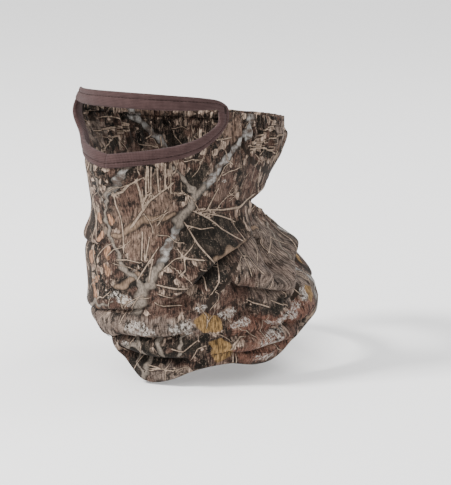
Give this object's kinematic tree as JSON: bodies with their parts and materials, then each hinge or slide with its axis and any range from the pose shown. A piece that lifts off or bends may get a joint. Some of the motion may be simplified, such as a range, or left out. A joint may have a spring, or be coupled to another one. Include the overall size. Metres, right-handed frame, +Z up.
{
  "type": "camouflage face mask",
  "caption": "Pull-on knit half mask with a bound eye opening, brow strap, elastic back edge, nape opening and draped neck skirt.",
  "frame": {"origin": "middle of the head space, level with the eyes' upper rim", "axes": "+Z up, -Y the way the wearer looks, +X the wearer's left"},
  "size_m": [0.1909, 0.2327, 0.2423],
  "materials": {
    "camo_knit": "matt stretch knit with a printed woodland pattern",
    "brown_binding": "matt folded knit binding",
    "elastic": "ribbed woven elastic",
    "thread": "spun polyester thread",
    "label": "blank satin tape"
  },
  "bodies": {
    "mask": {"back_casing_left": "camo_knit", "back_casing_right": "camo_knit", "back_elastic": "elastic", "back_seam_lower": "thread", "back_seam_upper": "thread", "bottom_hem": "camo_knit", "bottom_hem_stitching": "thread", "care_label": "label", "casing_stitching": "thread", "eye_binding_lower_left": "brown_binding", "eye_binding_lower_right": "brown_binding", "eye_binding_side_left": "brown_binding", "eye_binding_side_right": "brown_binding", "eye_binding_stitching": "thread", "mask_panel": "camo_knit", "nape_hem_lower_left": "camo_knit", "nape_hem_lower_right": "camo_knit", "nape_hem_upper_left": "camo_knit", "nape_hem_upper_right": "camo_knit", "nape_stitching": "thread"},
    "brow_strap": {"brow_strap": "brown_binding", "brow_strap_stitching": "thread", "bar_tack_left": "thread", "bar_tack_right": "thread"}
  },
  "joints": [
    {"name": "brow_strap_swing", "type": "hinge", "parent": "mask", "child": "brow_strap", "pos_m": [0, -0.05, 0.014], "axis": [1, 0, 0], "range_deg": [-40, 20]}
  ]
}
